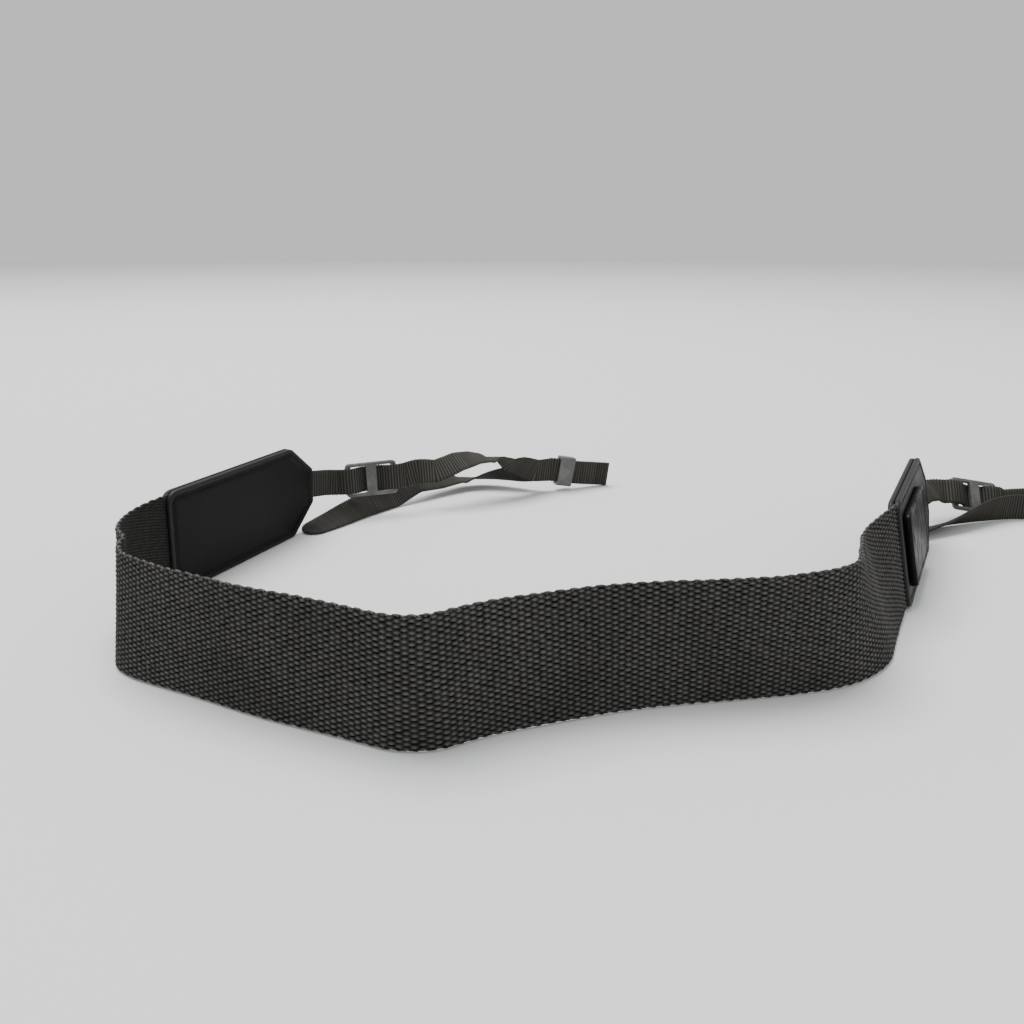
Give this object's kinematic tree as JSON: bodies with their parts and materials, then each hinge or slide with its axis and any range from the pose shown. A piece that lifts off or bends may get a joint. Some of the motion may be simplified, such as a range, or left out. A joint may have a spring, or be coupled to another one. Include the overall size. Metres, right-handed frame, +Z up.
{
  "type": "camera neck strap",
  "caption": "Woven neck strap with pointed leather tabs and thin adjustable end straps, standing on its edge in a loose curve.",
  "frame": {"origin": "middle of the footprint, on the ground", "axes": "+Z up, +X to the right along the standing band, -Y towards the bulge of the curve"},
  "size_m": [0.456, 0.2656, 0.0398],
  "materials": {
    "band_webbing": "coarse woven, matte",
    "thin_webbing": "cross-ribbed, matte",
    "leather": "smooth, soft sheen",
    "badge_plastic": "polished",
    "hardware_plastic": "satin moulded"
  },
  "bodies": {
    "root": {"neck_band": "band_webbing", "left_tab_inner": "leather", "left_tab_outer": "leather", "right_tab_inner": "leather", "right_tab_outer": "leather", "right_tab_badge": "badge_plastic", "left_thin_strap": "thin_webbing", "right_thin_strap": "thin_webbing", "left_buckle": "hardware_plastic", "right_buckle": "hardware_plastic", "left_keeper": "hardware_plastic", "right_keeper": "hardware_plastic"}
  },
  "joints": []
}
